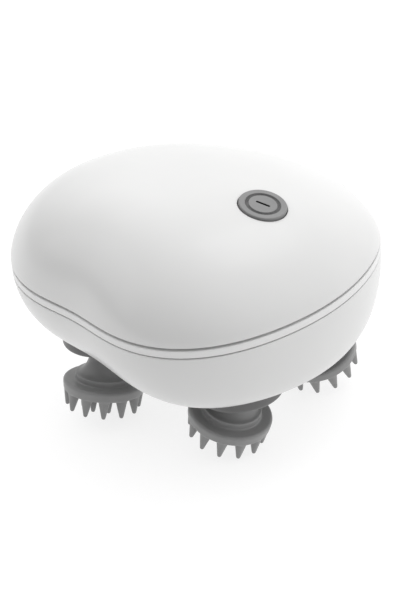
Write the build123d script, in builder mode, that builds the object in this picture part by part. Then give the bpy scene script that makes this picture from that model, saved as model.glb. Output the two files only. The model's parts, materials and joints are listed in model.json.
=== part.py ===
"""Electric scalp massager with four tilted, rotating silicone heads.

Frame: millimetres, +Z up, +X towards the power button.  Z = 0 is the plane
that the lowest fingertips touch, and X = Y = 0 is the middle of the body.
Heights whose names end in low, high, seat or tip are measured from the
casing's top rim; those of a massage head from the knee of its output shaft.
"""
from build123d import *
import os
from math import acos, asin, atan2, cos, degrees, hypot, pi, radians, sin, tan

os.makedirs("parts", exist_ok=True)

# ---------------------------------------------------------------- body shape
outline_base = 53.6                 # mean radius of the plan outline
outline_waves = {1: 3.4, 2: 5.3, 3: -3.4, 4: -1.6, 6: 0.6}   # cosine waves: broad front, two waists
outline_steps = 24                  # points that guide the outline's curve
outline_start = pi / 4              # the curve's ends meet where nothing else crosses it
parting_z = 46.5                    # height of the casing's top rim
band_height = 3.2                   # waist band, rim to cover
shadow_gap = 0.8                    # groove between band and cover
dome_height = 26.4                  # cover above the band
dome_plan_power = 3.38              # superellipse power in plan
dome_rise_power = 1.458             # superellipse power in height
wave_fade = 1.32                    # how fast the waists fade as the cover draws in
crown_shift = -5.45                 # the crown lies a little behind the middle
wall = 2.4                          # cover and casing wall
casing_depth = 18.3                 # rim to underside at X = 0
casing_pitch = 0.07                 # underside falls this much per millimetre of X
casing_power = 1.83                 # roundness of the casing's wall
casing_inset = (10.2, -1.8, -2.0)   # how far the wall draws in: mean, cosine, second cosine
cover_turns = (90, 78, 66, 54, 42, 30, 18, 9, 3, 1)   # the cover's level sections, rim to crown
casing_turns = (0, 20, 38, 54, 70, 90)                # the casing's sections, rim to underside
cut_through = 40.0                  # longer than any piece it cuts right through

# ------------------------------------------------------------- massage heads
heads_centre_x = 6.3                # the heads stand round the sun gear's axis
head_reach = 31.0                   # from the sun gear's axis to each head's
layout_turn = 4.4                   # degrees the four heads are turned as a group
front_spread = 39.3                 # degrees from the long axis to each front head
rear_spread = 34.0
head_tilt = {"front_right": 17.6, "front_left": 18.4, "rear_right": 12.0, "rear_left": 12.0}
lean = {"front_right": 8.0, "front_left": 274.0, "rear_right": 78.0, "rear_left": 180.0}
finger_turn = {"front_right": 27.0, "front_left": 26.0, "rear_right": 11.0, "rear_left": 10.0}
pivot_drop = 22.6                   # rim to the knee of each output shaft
neck_radius = 5.0
neck_high = 1.0
neck_low = -4.2
knee_room = 3.7                     # cavity in the neck round the output shaft's knee
flange_radius = 9.0                 # stepped flange at the neck's foot
flange_high = -9.9
flange_edge = (0.5, 0.4)            # its worn upper edge: across, down
disc_radius = 12.8
disc_high = -12.1                   # the disc's flat top
disc_low = -15.4
disc_shoulder = 0.9                 # radius of the disc's upper edge
disc_chamfer = 0.6                  # the disc's lower edge
disc_draft = 0.3                    # the rim's lower edge lies this much further in
finger_rings = [                    # count, ring radius at the foot and at the tip, foot radius
    (12, 10.5, 11.1, 1.95),
    (8, 6.1, 6.3, 1.45),
    (1, 0.0, 0.0, 1.45),
]
finger_tip = 0.65
finger_length = 6.0
finger_root = 0.4                   # the fingers start this far inside the disc
hub_radius = 3.9                    # the hard hub inside the silicone
hub_low = -14.4
hub_high = -3.6
hub_flange_radius = 9.4
hub_flange_height = 1.2
stub_radius = 2.5                   # the output shaft's tilted end
stub_low = -13.0

# ------------------------------------------------------------------- collars
collar_low = {"front_right": -26.8, "front_left": -26.8, "rear_right": -21.3, "rear_left": -21.3}
collar_radius = 13.2
collar_edge = 1.2                   # rounding at the foot
collar_bore = 7.0
collar_mouth = 8.0                  # the bore widens to this at the foot
mouth_depth = 3.4
spigot_radius = 8.6                 # the part of the collar that passes through the floor
spigot_root = 0.5
spigot_rise = 0.8                   # the spigot's top above the casing's floor
seal_height = 2.2

# ---------------------------------------------------------------- gear train
output_module = 1.0
sun_teeth = 36
output_teeth = 26
wheel_module = 0.6
wheel_teeth = 60
idler_module = 0.5
idler_teeth = 48
pinion_teeth = 12
pressure_angle = radians(25)
backlash = 0.1
running_gap = 0.06
gear_low, gear_high = -9.5, -4.5
wheel_low, wheel_high = -3.5, -1.0
idler_low, idler_high = -0.6, 1.0
idler_pinion_drop = 0.3             # the idler's pinion starts this far below the wheel
sun_hub_radius = 8.0
output_hub_radius = 5.0
output_hub_height = 2.0
shaft_radius = 3.0
shaft_top_gap = 0.3                 # the output shafts end this far below the cover plate's top
axle_radius = 2.0
idler_axle_radius = 1.0

# ------------------------------------------------------------- gearbox plates
base_plate_low, base_plate_high = -12.5, -10.5
cover_plate_low, cover_plate_high = 1.5, 3.5
base_plate_inset = 11.0
cover_plate_inset = 8.5
bush_radius = 4.8
bush_flange_radius = 6.0
bush_flange_height = 0.8
bush_low = base_plate_low - 1.0
bush_seat_margin = 1.0              # the base plate is thicker this far round each bush
post_clearance = 0.3                # plates round the pillars

# -------------------------------------------------------- pillars and screws
pillars = [(heads_centre_x, -31), (heads_centre_x, 31), (-41, 0), (43.5, 0)]
gearbox_posts = [(14, -32), (14, 32), (-39.5, -12), (-39.5, 12)]
pillar_radius = 3.5
boss_root = 1.2                     # the bosses start inside the floor, this far above its outer face
screw_radius = 1.1
screw_hole_radius = 1.4
screw_head_radius = 2.4
screw_head_height = 1.6
screw_head_gap = 0.2
casing_screw_seat = -8.0            # height of the casing screws' heads
casing_screw_tip = 9.0
pilot_depth = 1.0                   # the screws' holes go this much deeper than the screws
small_screw_radius = 0.8            # board, switch and motor screws
small_hole_radius = 0.9
small_head_radius = 1.6
small_head_height = 1.1

# ------------------------------------------------------- waist band, gasket
band_seat_inset = 1.1               # the shadow gap's depth
band_collar = (wall + 0.4, wall + 1.8)  # the locating collar's outer and inner faces
band_collar_low = -1.5
band_collar_rise = 1.2              # the collar's top above the band
gasket_inset = (0.9, 1.7)
gasket_depth = 0.8

# ------------------------------------------------------------- charging port
port_surface = (-56.75, -6.2)       # x and height, on the rear wall, of the charging port's middle
port_tilt = 19.4                    # degrees the rear wall leans there
port_rim = 1.6                      # thickened wall round the flap
port_root = 0.3                     # the port's frame starts inside the wall, this far below the flap
port_reach = 3.0                    # the port's cut ends this far outside its plane
flap_width = 13.0
flap_height = 6.4
flap_thickness = 1.6
flap_gap = 0.2
flap_corner = 1.0
socket_width = 8.9
socket_height = 3.2
socket_length = 7.0
socket_wall = 0.3
socket_corner = socket_height / 2 - 0.1
socket_front_x = -54.3
socket_cut = 1.7                    # the socket's pocket starts this far in front of it
socket_back_wall = 1.0
tongue_size = (6.6, 0.7)            # the contact tongue in the socket's mouth
tongue_inset = 0.8
charge_board_thickness = 1.0
charge_board_size = (5.8, 13.0)
charge_board_x = -48.6

# ------------------------------------------------------------- power button
button_x = 32.4
button_radius = 7.3
button_proud = 0.7
button_travel = 0.6
button_gap = 0.2
button_hole_reach = 6.0             # the hole is cut this far either side of the cover's face
cap_depth = wall + 0.9
cap_edge = 0.35                     # rounding of the cap's upper edge
cap_flange_radius = button_radius + 1.0
cap_flange_height = 0.8
ring_groove = (4.2, 5.2)
groove_depth = 0.4
mark_length = 4.3
mark_width = 0.53
mark_turn = 12.9                    # degrees the mark is turned from the body's long axis
plunger_radius = 1.8
switch_width = 6.0
switch_height = 3.4
switch_corner = 0.6
switch_bore = 1.75
actuator_radius = 1.65
actuator_proud = 1.2
actuator_root = 1.0
actuator_room = 0.2                 # free depth left under the pressed actuator
switch_board_depth = 10.0
switch_board_thickness = 1.2
switch_board_width = 12.0
switch_board_corner = 1.0
switch_post_spacing = 22.0
switch_post_radius = 2.6
switch_post_gap = 0.2
switch_screw_length = 5.0

# --------------------------------------------------------------------- motor
can_radius = 12.0
can_wall = 1.0
can_length = 21.0
motor_nose_radius = 3.0
nose_gap = 0.2
motor_shaft_radius = 1.0
motor_shaft_proud = 1.0             # the shaft's rear end stands out of the can
motor_screw_spacing = 16.0
bell_height = 2.0
bell_boss_radius = 3.2
bell_boss_height = 1.2
terminal_spacing = 15.0
terminal_size = (2.4, 0.6)
terminal_height = 2.0
magnet_low = 3.0                    # above the can's face
magnet_bore = 8.8
magnet_length = 13.0
magnet_split = 7.0                  # gap between the two magnets
rotor_low = 3.5                     # above the can's face
rotor_radius = 8.2
rotor_length = 12.0
rotor_slots = (6.2, 3, 1.6)         # ring radius, count and radius of the winding slots

# ----------------------------------------------------- battery, control board
cell_radius = 7.1
cell_length = 43.0
cell_edge = 0.8
cell_cap = (2.6, 0.8)               # radius and height of the positive end
cell_x = -27.0
cell_lift = 1.0                     # the cell lies this far above the cover plate
cradle_width = 18.0
cradle_ribs = (-13, 13)
cradle_rib_thickness = 5.0
cradle_rib_height = 8.0
cradle_floor = 0.8
board_low = 9.0                     # underside of the control board
board_thickness = 1.6
board_size = (19.0, 34.0)
board_corner = 1.5
board_x = 27.5
board_post_spacing = (13.0, 28.0)
board_post_radius = 2.2
board_hole_radius = 1.1
board_screw_reach = 4.0             # the board's screws go this far into their posts
board_parts = {                     # where, plan size and height of the larger components
    (-3.5, 0.0): (6.0, 6.0, 1.0),
    (3.5, 6.5): (5.0, 5.0, 2.4),
    (3.5, -6.0): (4.0, 4.6, 1.4),
    (-5.0, -9.0): (4.5, 6.0, 3.0),
    (-5.0, 9.0): (4.5, 6.0, 3.0),
}


# =============================================================== body outline
def faded_waves(scale):
    """The outline's cosine waves on a section shrunk by scale; the first wave keeps its size."""
    return {count: size * scale ** (wave_fade * (count > 1)) for count, size in outline_waves.items()}


def outline_radius(angle, scale=1.0):
    """Distance from the middle to the outline, at an angle in radians from +X."""
    return outline_base + sum(size * cos(count * angle) for count, size in faded_waves(scale).items())


def outline_slope(angle, scale=1.0):
    """Rate of change of the outline's radius."""
    return -sum(size * count * sin(count * angle) for count, size in faded_waves(scale).items())


def outline_point(angle, inset=0.0, scale=1.0, shift=0.0):
    """A point of the outline drawn in by inset, then shrunk about the middle and shifted along X."""
    radius, slope = outline_radius(angle, scale), outline_slope(angle, scale)
    along = hypot(radius, slope)
    out_x = (radius * cos(angle) + slope * sin(angle)) / along
    out_y = (radius * sin(angle) - slope * cos(angle)) / along
    x = radius * cos(angle) - inset * out_x
    y = radius * sin(angle) - inset * out_y
    return (x * scale + shift, y * scale)


def outline_angles():
    """Angles of the outline's guide points."""
    return [outline_start + 2 * pi * step / outline_steps for step in range(outline_steps)]


def outline_points(**options):
    """The outline's guide points, all the way round."""
    return [outline_point(angle, **options) for angle in outline_angles()]


def rim(height):
    """Horizontal plane at a height above the casing's rim."""
    return Plane.XY.offset(parting_z + height)


def cover_sections(skin):
    """Heights, shrink factors and shifts of the dome's level sections, skin below the outer face."""
    for turn in cover_turns:
        scale = sin(radians(turn)) ** (2 / dome_plan_power)
        rise = cos(radians(turn)) ** (2 / dome_rise_power)
        yield band_height + (dome_height - skin) * rise, scale, crown_shift * (1 - scale)


def casing_section_inset(angle, turn):
    """How far the casing's wall has drawn in, at an angle round the body and a turn down the wall."""
    mean, first, second = casing_inset
    reach = mean + first * cos(angle) + second * cos(2 * angle)
    return reach * (1 - cos(radians(turn)))


def casing_drop(turn):
    """Share of the casing's depth reached at a turn down the wall."""
    return sin(radians(turn)) ** (2 / casing_power)


def floor_height(x, skin=0.0):
    """Height of the casing's underside at x, relative to the rim, skin above the outer face."""
    return -(casing_depth - skin + casing_pitch * x)


def casing_plane(turn, skin):
    """Plane of one casing section; it tips forward as the wall goes down."""
    drop = casing_drop(turn)
    origin = (0, 0, parting_z - (casing_depth - skin) * drop)
    return Plane(origin=origin, x_dir=(1, 0, -casing_pitch * drop), z_dir=(casing_pitch * drop, 0, 1))


def casing_points(turn, skin):
    """Points of one casing section, in its own tipped plane."""
    stretch = hypot(1, casing_pitch * casing_drop(turn))
    points = []
    for angle in outline_angles():
        x, y = outline_point(angle, inset=skin + casing_section_inset(angle, turn))
        points.append((x * stretch, y))
    return points


# ================================================================ body shells
with BuildPart() as dome:                       # the cover's outer form, solid
    for height, scale, shift in cover_sections(0):
        with BuildSketch(rim(height)):
            with BuildLine():
                Spline(*outline_points(scale=scale, shift=shift), periodic=True)
            make_face()
    loft()

with BuildPart() as dome_hollow:                # the room inside the cover
    for height, scale, shift in cover_sections(wall):
        with BuildSketch(rim(height)):
            with BuildLine():
                Spline(*outline_points(inset=wall, scale=scale, shift=shift), periodic=True)
            make_face()
    loft()

with BuildPart() as bowl:                       # the casing's outer form, solid
    for turn in casing_turns:
        with BuildSketch(casing_plane(turn, 0)):
            with BuildLine():
                Spline(*casing_points(turn, 0), periodic=True)
            make_face()
    loft()

with BuildPart() as bowl_hollow:                # the room inside the casing
    for turn in casing_turns:
        with BuildSketch(casing_plane(turn, wall)):
            with BuildLine():
                Spline(*casing_points(turn, wall), periodic=True)
            make_face()
    loft()

# --------------------------------------------------------- where things stand
corner_angles = {
    "front_right": layout_turn - front_spread,
    "front_left": layout_turn + front_spread,
    "rear_right": layout_turn + 180 + rear_spread,
    "rear_left": layout_turn + 180 - rear_spread,
}
corners = {
    name: (heads_centre_x + head_reach * cos(radians(angle)), head_reach * sin(radians(angle)))
    for name, angle in corner_angles.items()
}
centre_distance_wheel = wheel_module * (wheel_teeth + pinion_teeth) / 2
centre_distance_idler = idler_module * (idler_teeth + pinion_teeth) / 2
sun_x = heads_centre_x
idler_x = sun_x - centre_distance_wheel
motor_x = idler_x + centre_distance_idler


def write(part, name):
    """Label a finished piece and save it under its own name."""
    part.label = name
    export_step(part, f"parts/{name}.step")


# --------------------------------------------------------- button's own frame
def cover_share(x):
    """Shrink factor of the cover's level section that reaches x on the middle line, by halving."""
    low, high = 0.0, 1.0
    for _ in range(50):
        share = (low + high) / 2
        if outline_point(0, scale=share, shift=crown_shift * (1 - share))[0] < x:
            low = share
        else:
            high = share
    return low


def cover_rise(x):
    """Height above the band of the cover's outer face at x, on the middle line."""
    return dome_height * (1 - cover_share(x) ** dome_plan_power) ** (1 / dome_rise_power)


slope_step = 0.01
button_z = parting_z + band_height + cover_rise(button_x)
dome_fall = (cover_rise(button_x - slope_step) - cover_rise(button_x + slope_step)) / (2 * slope_step)
button_plane = Plane(origin=(button_x, 0, button_z), x_dir=(1, 0, -dome_fall), z_dir=(dome_fall, 0, 1))

# ================================================================== top cover
with BuildPart() as cover_bosses:               # screw bosses and switch posts inside the cover
    for x, y in pillars:
        with BuildSketch(rim(0)):
            with Locations((x, y)):
                Circle(pillar_radius)
        extrude(amount=dome_height)
    with BuildSketch(button_plane.offset(-switch_board_depth)):
        with GridLocations(1, switch_post_spacing, 1, 2):
            Circle(switch_post_radius)
    extrude(amount=switch_board_depth)
    add(dome.part, mode=Mode.INTERSECT)
    for x, y in pillars:
        with BuildSketch(rim(0)):
            with Locations((x, y)):
                Circle(screw_radius)
        extrude(amount=casing_screw_tip + pilot_depth, mode=Mode.SUBTRACT)
    with BuildSketch(button_plane.offset(-switch_board_depth)):
        with GridLocations(1, switch_post_spacing, 1, 2):
            Circle(small_screw_radius)
    extrude(amount=switch_screw_length, mode=Mode.SUBTRACT)

with BuildPart() as top_cover:
    add(dome.part)
    add(dome_hollow.part, mode=Mode.SUBTRACT)
    add(cover_bosses.part)
    with BuildSketch(button_plane.offset(-button_hole_reach)):
        Circle(button_radius + button_gap)
    extrude(amount=2 * button_hole_reach, mode=Mode.SUBTRACT)
write(top_cover.part, "top_cover")

# ================================================================== waist band
with BuildPart() as mid_band:
    with BuildSketch(rim(0)):
        with BuildLine():
            Spline(*outline_points(), periodic=True)
        make_face()
    extrude(amount=band_height - shadow_gap)
    with BuildSketch(rim(0)):
        with BuildLine():
            Spline(*outline_points(inset=band_seat_inset), periodic=True)
        make_face()
    extrude(amount=band_height)
    with BuildSketch(rim(band_collar_low)):
        with BuildLine():
            Spline(*outline_points(inset=band_collar[0]), periodic=True)
        make_face()
    extrude(amount=band_height + band_collar_rise - band_collar_low)
    with BuildSketch(rim(-cut_through / 2)):
        with BuildLine():
            Spline(*outline_points(inset=band_collar[1]), periodic=True)
        make_face()
    extrude(amount=cut_through, mode=Mode.SUBTRACT)
write(mid_band.part, "mid_band")

# ================================================================ lower casing
port_plane = Plane(
    origin=(port_surface[0], 0, parting_z + port_surface[1]),
    x_dir=(0, 1, 0),
    z_dir=(-cos(radians(port_tilt)), 0, -sin(radians(port_tilt))),
)

with BuildPart() as casing_bosses:              # pillars, standoffs and the port's frame
    for x, y in pillars:
        with BuildSketch(rim(floor_height(x, boss_root))):
            with Locations((x, y)):
                Circle(pillar_radius)
        extrude(amount=-floor_height(x, boss_root))
    for x, y in gearbox_posts:
        with BuildSketch(rim(floor_height(x, boss_root))):
            with Locations((x, y)):
                Circle(pillar_radius)
        extrude(amount=base_plate_low - floor_height(x, boss_root))
    with BuildSketch(port_plane.offset(-flap_thickness - wall)):
        RectangleRounded(flap_width + 2 * port_rim, flap_height + 2 * port_rim, flap_corner + port_rim)
    extrude(amount=wall - port_root)
    with BuildSketch(rim(band_collar_low - flap_gap)):
        with Locations((socket_front_x, 0)):
            Rectangle(4 * wall, 2 * flap_width)
    extrude(amount=wall, mode=Mode.SUBTRACT)

with BuildPart() as lower_casing:
    add(bowl.part)
    add(bowl_hollow.part, mode=Mode.SUBTRACT)
    add(casing_bosses.part)
    for x, y in pillars:
        with BuildSketch(rim(-cut_through)):
            with Locations((x, y)):
                Circle(screw_hole_radius)
        extrude(amount=2 * cut_through, mode=Mode.SUBTRACT)
        with BuildSketch(rim(-cut_through)):
            with Locations((x, y)):
                Circle(screw_head_radius + screw_head_gap)
        extrude(amount=cut_through + casing_screw_seat, mode=Mode.SUBTRACT)
    for x, y in corners.values():
        with BuildSketch(rim(-cut_through)):
            with Locations((x, y)):
                Circle(spigot_radius)
        extrude(amount=cut_through + base_plate_high, mode=Mode.SUBTRACT)
    with BuildSketch(rim(-gasket_depth)):
        with BuildLine():
            Spline(*outline_points(inset=gasket_inset[0]), periodic=True)
        make_face()
        with BuildLine():
            Spline(*outline_points(inset=gasket_inset[1]), periodic=True)
        make_face(mode=Mode.SUBTRACT)
    extrude(amount=2 * gasket_depth, mode=Mode.SUBTRACT)
    with BuildSketch(port_plane.offset(-flap_thickness)):
        RectangleRounded(flap_width + 2 * flap_gap, flap_height + 2 * flap_gap, flap_corner + flap_gap)
    extrude(amount=flap_thickness + port_reach, mode=Mode.SUBTRACT)
    with BuildSketch(Plane.YZ.offset(socket_front_x - socket_cut)):
        with Locations((0, parting_z + port_surface[1])):
            RectangleRounded(socket_width, socket_height, socket_corner)
    extrude(amount=socket_length, mode=Mode.SUBTRACT)
write(lower_casing.part, "lower_casing")

with BuildPart() as shell_gasket:
    with BuildSketch(rim(-gasket_depth)):
        with BuildLine():
            Spline(*outline_points(inset=gasket_inset[0]), periodic=True)
        make_face()
        with BuildLine():
            Spline(*outline_points(inset=gasket_inset[1]), periodic=True)
        make_face(mode=Mode.SUBTRACT)
    extrude(amount=gasket_depth)
write(shell_gasket.part, "shell_gasket")

# ================================================================ power button
with BuildPart() as button_cap:
    with BuildSketch(button_plane.offset(-cap_depth)):
        Circle(button_radius)
    extrude(amount=cap_depth + button_proud)
    fillet(button_cap.edges().group_by(Axis((button_x, 0, button_z), button_plane.z_dir))[-1], cap_edge)
    with BuildSketch(button_plane.offset(-cap_depth - cap_flange_height)):
        Circle(cap_flange_radius)
    extrude(amount=cap_flange_height)
    with BuildSketch(button_plane.offset(button_proud - groove_depth)):
        Circle(ring_groove[1])
        Circle(ring_groove[0], mode=Mode.SUBTRACT)
        SlotOverall(mark_length, mark_width, rotation=mark_turn)
    extrude(amount=groove_depth, mode=Mode.SUBTRACT)
write(button_cap.part, "button_cap")

switch_top = -switch_board_depth + switch_height
plunger_low = switch_top + actuator_proud
with BuildPart() as button_plunger:
    with BuildSketch(button_plane.offset(plunger_low)):
        Circle(plunger_radius)
    extrude(amount=-cap_depth - cap_flange_height - plunger_low)
write(button_plunger.part, "button_plunger")

with BuildPart() as switch_actuator:
    with BuildSketch(button_plane.offset(switch_top - actuator_root)):
        Circle(actuator_radius)
    extrude(amount=actuator_root + actuator_proud)
write(switch_actuator.part, "switch_actuator")

with BuildPart() as tact_switch:
    with BuildSketch(button_plane.offset(switch_top - switch_height)):
        RectangleRounded(switch_width, switch_width, switch_corner)
    extrude(amount=switch_height)
    with BuildSketch(button_plane.offset(switch_top - actuator_root - button_travel - actuator_room)):
        Circle(switch_bore)
    extrude(amount=switch_height, mode=Mode.SUBTRACT)
write(tact_switch.part, "tact_switch")

with BuildPart() as switch_board:
    with BuildSketch(button_plane.offset(-switch_board_depth)):
        RectangleRounded(
            switch_board_width,
            switch_post_spacing - 2 * (switch_post_radius + switch_post_gap),
            switch_board_corner,
        )
        with GridLocations(1, switch_post_spacing, 1, 2):
            Circle(switch_post_radius)
        Rectangle(2 * switch_post_radius, switch_post_spacing)
    extrude(amount=-switch_board_thickness)
    with BuildSketch(button_plane.offset(-switch_board_depth - switch_board_thickness)):
        with GridLocations(1, switch_post_spacing, 1, 2):
            Circle(small_hole_radius)
    extrude(amount=switch_board_thickness, mode=Mode.SUBTRACT)
write(switch_board.part, "switch_board")

with BuildPart() as switch_screws:
    board_under = button_plane.offset(-switch_board_depth - switch_board_thickness)
    with BuildSketch(board_under):
        with GridLocations(1, switch_post_spacing, 1, 2):
            Circle(small_screw_radius)
    extrude(amount=switch_screw_length)
    with BuildSketch(board_under):
        with GridLocations(1, switch_post_spacing, 1, 2):
            Circle(small_head_radius)
    extrude(amount=-small_head_height)
write(switch_screws.part, "switch_screws")

# =========================================================== gearbox housing
with BuildPart() as gearbox_base:
    with BuildSketch(rim(base_plate_low)):
        with BuildLine():
            Spline(*outline_points(inset=base_plate_inset), periodic=True)
        make_face()
    extrude(amount=base_plate_high - base_plate_low)
    with BuildSketch(rim(bush_low)):
        with Locations(*corners.values()):
            Circle(bush_flange_radius + bush_seat_margin)
    extrude(amount=base_plate_low - bush_low)
    with BuildSketch(rim(bush_low)):
        with Locations(*corners.values()):
            Circle(bush_radius)
    extrude(amount=cut_through, mode=Mode.SUBTRACT)
    with BuildSketch(rim(base_plate_low)):
        with Locations(*pillars):
            Circle(pillar_radius + post_clearance)
        with Locations(*gearbox_posts):
            Circle(screw_hole_radius)
        with Locations((sun_x, 0)):
            Circle(axle_radius)
        with Locations((idler_x, 0)):
            Circle(idler_axle_radius)
    extrude(amount=cut_through, mode=Mode.SUBTRACT)
write(gearbox_base.part, "gearbox_base")

with BuildPart() as gearbox_cover:
    with BuildSketch(rim(cover_plate_low)):
        with BuildLine():
            Spline(*outline_points(inset=cover_plate_inset), periodic=True)
        make_face()
        with Locations(*pillars):
            Circle(pillar_radius + post_clearance, mode=Mode.SUBTRACT)
        with Locations((sun_x, 0)):
            Circle(axle_radius, mode=Mode.SUBTRACT)
        with Locations((idler_x, 0)):
            Circle(idler_axle_radius, mode=Mode.SUBTRACT)
        with Locations((motor_x, 0)):
            Circle(motor_nose_radius + nose_gap, mode=Mode.SUBTRACT)
            with GridLocations(1, motor_screw_spacing, 1, 2):
                Circle(small_screw_radius, mode=Mode.SUBTRACT)
        with Locations(*corners.values()):
            Circle(shaft_radius + running_gap, mode=Mode.SUBTRACT)
    extrude(amount=cover_plate_high - cover_plate_low)
    with BuildSketch(rim(base_plate_high)):
        with Locations(*gearbox_posts):
            Circle(pillar_radius)
    extrude(amount=cover_plate_low - base_plate_high)
    with BuildSketch(rim(base_plate_high)):
        with Locations(*gearbox_posts):
            Circle(screw_hole_radius)
    extrude(amount=cover_plate_high - base_plate_high, mode=Mode.SUBTRACT)
    with BuildSketch(rim(cover_plate_high)):
        with Locations((board_x, 0)):
            with GridLocations(*board_post_spacing, 2, 2):
                Circle(board_post_radius)
                Circle(small_screw_radius, mode=Mode.SUBTRACT)
    extrude(amount=board_low - cover_plate_high)
write(gearbox_cover.part, "gearbox_cover")

with BuildPart() as gearbox_screws:
    with BuildSketch(rim(base_plate_low)):
        with Locations(*gearbox_posts):
            Circle(screw_radius)
    extrude(amount=cover_plate_high - base_plate_low)
    with BuildSketch(rim(cover_plate_high)):
        with Locations(*gearbox_posts):
            Circle(screw_head_radius)
    extrude(amount=screw_head_height)
write(gearbox_screws.part, "gearbox_screws")

with BuildPart() as casing_screws:
    with BuildSketch(rim(casing_screw_seat)):
        with Locations(*pillars):
            Circle(screw_radius)
    extrude(amount=casing_screw_tip - casing_screw_seat)
    with BuildSketch(rim(casing_screw_seat - screw_head_height)):
        with Locations(*pillars):
            Circle(screw_head_radius)
    extrude(amount=screw_head_height)
write(casing_screws.part, "casing_screws")


# ====================================================================== gears
def involute_point(radius, base_radius, start_angle):
    """Point at a radius on the involute that leaves the base circle at start_angle."""
    roll = acos(min(1, base_radius / radius))
    angle = start_angle - (tan(roll) - roll)
    return (radius * cos(angle), radius * sin(angle))


def tooth_sketch(teeth, module):
    """One tooth standing along +X, from inside the root circle to the tip."""
    pitch_radius = teeth * module / 2
    base_radius = pitch_radius * cos(pressure_angle)
    tip_radius = pitch_radius + module
    foot_radius = max(base_radius, pitch_radius - 1.25 * module)
    core_radius = pitch_radius - 1.6 * module
    half_thickness = (pi * module / 2 - backlash) / 2 / pitch_radius
    start_angle = half_thickness + tan(pressure_angle) - pressure_angle
    middle = (foot_radius + tip_radius) / 2
    upper = [involute_point(r, base_radius, start_angle) for r in (foot_radius, middle, tip_radius)]
    lower = [(x, -y) for x, y in upper]
    core_half = asin(upper[0][1] / foot_radius)
    core = (core_radius * cos(core_half), core_radius * sin(core_half))
    with BuildSketch(mode=Mode.PRIVATE) as tooth:
        with BuildLine():
            ThreePointArc(*upper)
            Line(upper[2], lower[2])
            ThreePointArc(*lower)
            Line(lower[0], (core[0], -core[1]))
            Line((core[0], -core[1]), core)
            Line(core, upper[0])
        make_face()
    return tooth.sketch


def gear_sketch(teeth, module, phase, bore):
    """A spur gear's outline with one tooth centred at phase degrees."""
    tooth = tooth_sketch(teeth, module)
    with BuildSketch(mode=Mode.PRIVATE) as gear:
        Circle(teeth * module / 2 - 1.25 * module)
        with PolarLocations(0, teeth, start_angle=phase):
            add(tooth)
        Circle(bore, mode=Mode.SUBTRACT)
    return gear.sketch


def mesh_phase(teeth, other_teeth, other_phase, direction):
    """Phase in degrees that puts a gear's tooth in the other gear's space.

    direction is the angle, in degrees, of this gear's middle as seen from the other's.
    """
    return direction + 180 - (other_teeth * (other_phase - direction) + 180) / teeth


with BuildPart() as sun_gear:
    with BuildSketch(rim(gear_low)):
        with Locations((sun_x, 0)):
            add(gear_sketch(sun_teeth, output_module, 0, axle_radius + running_gap))
    extrude(amount=gear_high - gear_low)
    with BuildSketch(rim(gear_high)):
        with Locations((sun_x, 0)):
            Circle(sun_hub_radius)
            Circle(axle_radius + running_gap, mode=Mode.SUBTRACT)
    extrude(amount=wheel_low - gear_high)
    with BuildSketch(rim(wheel_low)):
        with Locations((sun_x, 0)):
            add(gear_sketch(wheel_teeth, wheel_module, 0, axle_radius + running_gap))
    extrude(amount=wheel_high - wheel_low)
write(sun_gear.part, "sun_gear")

with BuildPart() as sun_axle:
    with BuildSketch(rim(base_plate_low)):
        with Locations((sun_x, 0)):
            Circle(axle_radius)
    extrude(amount=cover_plate_high - base_plate_low)
write(sun_axle.part, "sun_axle")

idler_pinion_phase = mesh_phase(pinion_teeth, wheel_teeth, 0, 180)
with BuildPart() as idler_gear:
    with BuildSketch(rim(wheel_low - idler_pinion_drop)):
        with Locations((idler_x, 0)):
            add(gear_sketch(pinion_teeth, wheel_module, idler_pinion_phase, idler_axle_radius + running_gap))
    extrude(amount=idler_low - wheel_low + idler_pinion_drop)
    with BuildSketch(rim(idler_low)):
        with Locations((idler_x, 0)):
            add(gear_sketch(idler_teeth, idler_module, 0, idler_axle_radius + running_gap))
    extrude(amount=idler_high - idler_low)
write(idler_gear.part, "idler_gear")

with BuildPart() as idler_axle:
    with BuildSketch(rim(base_plate_low)):
        with Locations((idler_x, 0)):
            Circle(idler_axle_radius)
    extrude(amount=cover_plate_high - base_plate_low)
write(idler_axle.part, "idler_axle")

# ====================================================================== motor
can_low = cover_plate_high
can_high = can_low + can_length
motor_pinion_phase = mesh_phase(pinion_teeth, idler_teeth, 0, 0)

with BuildPart() as motor_can:
    with BuildSketch(rim(can_low)):
        with Locations((motor_x, 0)):
            Circle(can_radius)
    extrude(amount=can_wall)
    with BuildSketch(rim(can_low)):
        with Locations((motor_x, 0)):
            Circle(motor_nose_radius)
    extrude(amount=2 * can_wall)
    with BuildSketch(rim(can_low)):
        with Locations((motor_x, 0)):
            Circle(can_radius)
            Circle(can_radius - can_wall, mode=Mode.SUBTRACT)
    extrude(amount=can_high - can_low)
    with BuildSketch(rim(can_low)):
        with Locations((motor_x, 0)):
            Circle(motor_shaft_radius + running_gap)
            with GridLocations(1, motor_screw_spacing, 1, 2):
                Circle(small_screw_radius)
    extrude(amount=2 * can_wall, mode=Mode.SUBTRACT)
write(motor_can.part, "motor_can")

with BuildPart() as motor_end_bell:
    with BuildSketch(rim(can_high - bell_height)):
        with Locations((motor_x, 0)):
            Circle(can_radius - can_wall)
            Circle(motor_shaft_radius + running_gap, mode=Mode.SUBTRACT)
    extrude(amount=bell_height)
    with BuildSketch(rim(can_high)):
        with Locations((motor_x, 0)):
            Circle(bell_boss_radius)
            Circle(motor_shaft_radius + running_gap, mode=Mode.SUBTRACT)
    extrude(amount=bell_boss_height)
    with BuildSketch(rim(can_high)):
        with Locations((motor_x, 0)):
            with GridLocations(1, terminal_spacing, 1, 2):
                Rectangle(*terminal_size)
    extrude(amount=terminal_height)
write(motor_end_bell.part, "motor_end_bell")

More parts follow.
